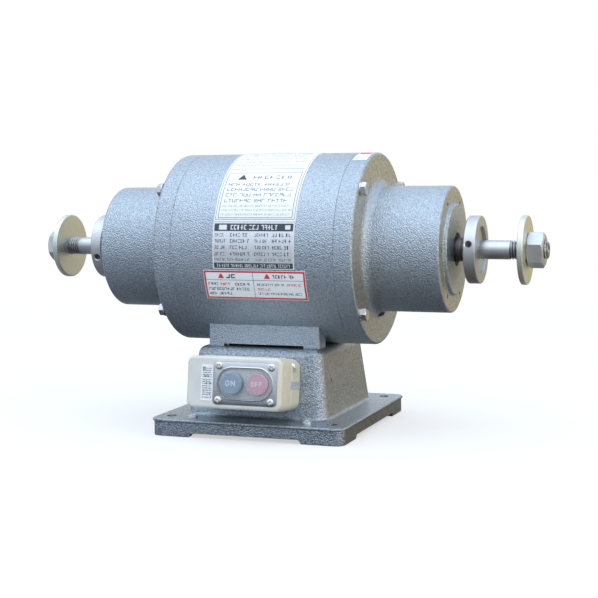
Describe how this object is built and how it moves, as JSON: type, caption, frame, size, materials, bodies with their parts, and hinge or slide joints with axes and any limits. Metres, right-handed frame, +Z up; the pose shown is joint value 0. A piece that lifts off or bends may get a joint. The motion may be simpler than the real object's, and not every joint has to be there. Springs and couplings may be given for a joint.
{
  "type": "bench grinder",
  "caption": "Double-ended bench grinder with no wheels fitted: motor with two long necks on a cast pedestal base, bare threaded shaft ends with flanges and nuts, push-button switch in front.",
  "frame": {"origin": "centre of the bench-bolt pattern on the base underside", "axes": "+Z up, +X along the shaft to the right-hand end, -Y towards the switch side"},
  "size_m": [0.464, 0.2045, 0.2376],
  "materials": {
    "hammer_paint": "hammered blue-grey paint, semi-gloss",
    "sheet_steel": "zinc-plated sheet",
    "zinc_fastener": "bright zinc",
    "black_rubber": "matt",
    "core_steel": "laminated, oiled",
    "winding_copper": "varnished copper winding",
    "bearing_steel": "ground",
    "turned_steel": "turned, bright",
    "cast_aluminium": "as cast",
    "yellow_zinc": "yellow-green passivated zinc",
    "plate_metal": "satin",
    "label_film": "printed film",
    "case_plastic": "grey-cream moulded",
    "clear_boot": "translucent silicone",
    "blue_plastic": "moulded",
    "red_plastic": "moulded",
    "brown_phenolic": "moulded phenolic",
    "contact_brass": "plain"
  },
  "bodies": {
    "housing": {"base_casting": "hammer_paint", "bearing_outer_ring_left": "bearing_steel", "bearing_outer_ring_right": "bearing_steel", "bezel_screws": "zinc_fastener", "bottom_cover": "sheet_steel", "bottom_cover_nuts": "zinc_fastener", "bottom_cover_screws": "zinc_fastener", "bracket_bolts_left": "zinc_fastener", "bracket_bolts_right": "zinc_fastener", "bracket_washers_left": "zinc_fastener", "bracket_washers_right": "zinc_fastener", "button_boots": "clear_boot", "contact_block": "brown_phenolic", "cover_clip": "plate_metal", "dust_seal_left": "black_rubber", "dust_seal_right": "black_rubber", "earth_screw": "zinc_fastener", "end_bracket_left": "hammer_paint", "end_bracket_right": "hammer_paint", "end_label": "label_film", "fixed_contacts": "contact_brass", "lead_inlet_grommet": "black_rubber", "lower_label": "label_film", "motor_bolt_washers": "zinc_fastener", "motor_bolts": "zinc_fastener", "rating_plate": "plate_metal", "rocker_pin": "contact_brass", "snap_ring_left": "bearing_steel", "snap_ring_right": "bearing_steel", "stator_core": "core_steel", "stator_frame": "hammer_paint", "stator_windings": "winding_copper", "switch_bezel": "plate_metal", "switch_cover": "case_plastic", "switch_fixing_screws": "zinc_fastener", "switch_label": "label_film", "switch_rear_case": "case_plastic", "terminal_screws": "zinc_fastener", "upper_label": "label_film"},
    "rotor": {"shaft": "turned_steel", "rotor_core": "core_steel", "rotor_cage": "cast_aluminium", "bearing_inner_ring_left": "bearing_steel", "bearing_inner_ring_right": "bearing_steel", "inner_flange_left": "turned_steel", "inner_flange_right": "turned_steel", "set_screw_left": "zinc_fastener", "set_screw_right": "zinc_fastener"},
    "ball_cage_left": {"bearing_balls_left": "bearing_steel", "bearing_cage_left": "bearing_steel"},
    "ball_cage_right": {"bearing_balls_right": "bearing_steel", "bearing_cage_right": "bearing_steel"},
    "outer_flange_left": {"outer_flange_left": "yellow_zinc"},
    "outer_flange_right": {"outer_flange_right": "yellow_zinc"},
    "wheel_nut_left": {"wheel_nut_left": "turned_steel"},
    "wheel_nut_right": {"wheel_nut_right": "turned_steel"},
    "on_button": {"on_button": "blue_plastic"},
    "off_button": {"off_button": "red_plastic"},
    "switch_rocker": {"switch_rocker": "brown_phenolic", "moving_contacts": "contact_brass"}
  },
  "joints": [
    {"name": "rotor_spin", "type": "hinge", "parent": "housing", "child": "rotor", "pos_m": [0.003, 0, 0.1553], "axis": [1, 0, 0], "continuous": true},
    {"name": "ball_cage_left_spin", "type": "hinge", "parent": "housing", "child": "ball_cage_left", "pos_m": [-0.135, 0, 0.1553], "axis": [1, 0, 0], "continuous": true},
    {"name": "ball_cage_right_spin", "type": "hinge", "parent": "housing", "child": "ball_cage_right", "pos_m": [0.141, 0, 0.1553], "axis": [1, 0, 0], "continuous": true},
    {"name": "outer_flange_left_slide", "type": "slide", "parent": "rotor", "child": "outer_flange_left", "axis": [-1, 0, 0], "range_m": [-0.012, 0.12]},
    {"name": "outer_flange_right_slide", "type": "slide", "parent": "rotor", "child": "outer_flange_right", "axis": [1, 0, 0], "range_m": [-0.012, 0.12]},
    {"name": "wheel_nut_left_slide", "type": "slide", "parent": "outer_flange_left", "child": "wheel_nut_left", "axis": [-1, 0, 0], "range_m": [0, 0.04]},
    {"name": "wheel_nut_right_slide", "type": "slide", "parent": "outer_flange_right", "child": "wheel_nut_right", "axis": [1, 0, 0], "range_m": [0, 0.04]},
    {"name": "on_press", "type": "slide", "parent": "housing", "child": "on_button", "axis": [0, 0.9907, -0.1357], "range_m": [0, 0.0035]},
    {"name": "off_press", "type": "slide", "parent": "housing", "child": "off_button", "axis": [0, 0.9907, -0.1357], "range_m": [-0.0035, 0]},
    {"name": "rocker_tilt", "type": "hinge", "parent": "housing", "child": "switch_rocker", "pos_m": [0.0074, -0.08581, 0.04708], "axis": [0, 0.1357, 0.9907], "range_deg": [-18.3, 0]}
  ],
  "couplings": [
    {"joint": "ball_cage_left_spin", "follows": "rotor_spin", "ratio": 0.3815},
    {"joint": "ball_cage_right_spin", "follows": "rotor_spin", "ratio": 0.3815},
    {"joint": "off_press", "follows": "on_press", "ratio": -1},
    {"joint": "rocker_tilt", "follows": "on_press", "rad_per_m": -90.88}
  ]
}
